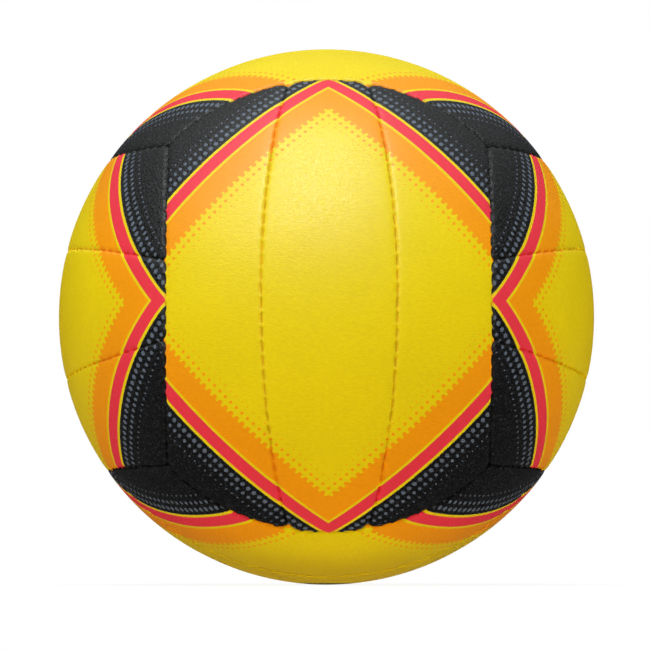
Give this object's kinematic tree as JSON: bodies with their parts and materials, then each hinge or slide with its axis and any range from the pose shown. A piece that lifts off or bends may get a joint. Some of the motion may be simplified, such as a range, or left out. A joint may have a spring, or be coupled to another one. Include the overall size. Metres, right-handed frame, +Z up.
{
  "type": "volleyball",
  "caption": "Stitched volleyball: a round cover of long panels in crossed groups over a cloth lining and a rubber bladder, with a needle valve whose core pulls out.",
  "frame": {"origin": "centre of the ball", "axes": "+Y out through the valve, +Z up along the strips of the front and back faces, -Y towards the pictured face"},
  "size_m": [0.2132, 0.213, 0.2132],
  "materials": {
    "cover": "satin synthetic leather, grained and printed",
    "lining": "plain woven cloth",
    "thread": "waxed polyester thread",
    "bladder": "matte butyl rubber",
    "valve_body": "moulded rubber",
    "valve_core": "moulded rubber"
  },
  "bodies": {
    "ball": {"front_left_panel": "cover", "front_middle_panel": "cover", "front_right_panel": "cover", "back_right_panel": "cover", "back_middle_panel": "cover", "back_left_panel": "cover", "top_back_panel": "cover", "top_middle_panel": "cover", "top_front_panel": "cover", "bottom_front_panel": "cover", "bottom_middle_panel": "cover", "bottom_back_panel": "cover", "right_upper_panel": "cover", "right_middle_panel": "cover", "right_lower_panel": "cover", "left_lower_panel": "cover", "left_middle_panel": "cover", "left_upper_panel": "cover", "front_left_lining": "lining", "front_middle_lining": "lining", "front_right_lining": "lining", "back_right_lining": "lining", "back_middle_lining": "lining", "back_left_lining": "lining", "top_back_lining": "lining", "top_middle_lining": "lining", "top_front_lining": "lining", "bottom_front_lining": "lining", "bottom_middle_lining": "lining", "bottom_back_lining": "lining", "right_upper_lining": "lining", "right_middle_lining": "lining", "right_lower_lining": "lining", "left_lower_lining": "lining", "left_middle_lining": "lining", "left_upper_lining": "lining", "front_left_thread": "thread", "front_right_thread": "thread", "back_right_thread": "thread", "back_left_thread": "thread", "top_back_thread": "thread", "top_front_thread": "thread", "bottom_front_thread": "thread", "bottom_back_thread": "thread", "right_upper_thread": "thread", "right_lower_thread": "thread", "left_lower_thread": "thread", "left_upper_thread": "thread", "edge_thread_1": "thread", "edge_thread_2": "thread", "edge_thread_3": "thread", "edge_thread_4": "thread", "bladder": "bladder", "valve_body": "valve_body"},
    "valve_core": {"valve_core": "valve_core"}
  },
  "joints": [
    {"name": "valve_core_pull", "type": "slide", "parent": "ball", "child": "valve_core", "axis": [0, 1, 0], "range_m": [0, 0.02]}
  ]
}
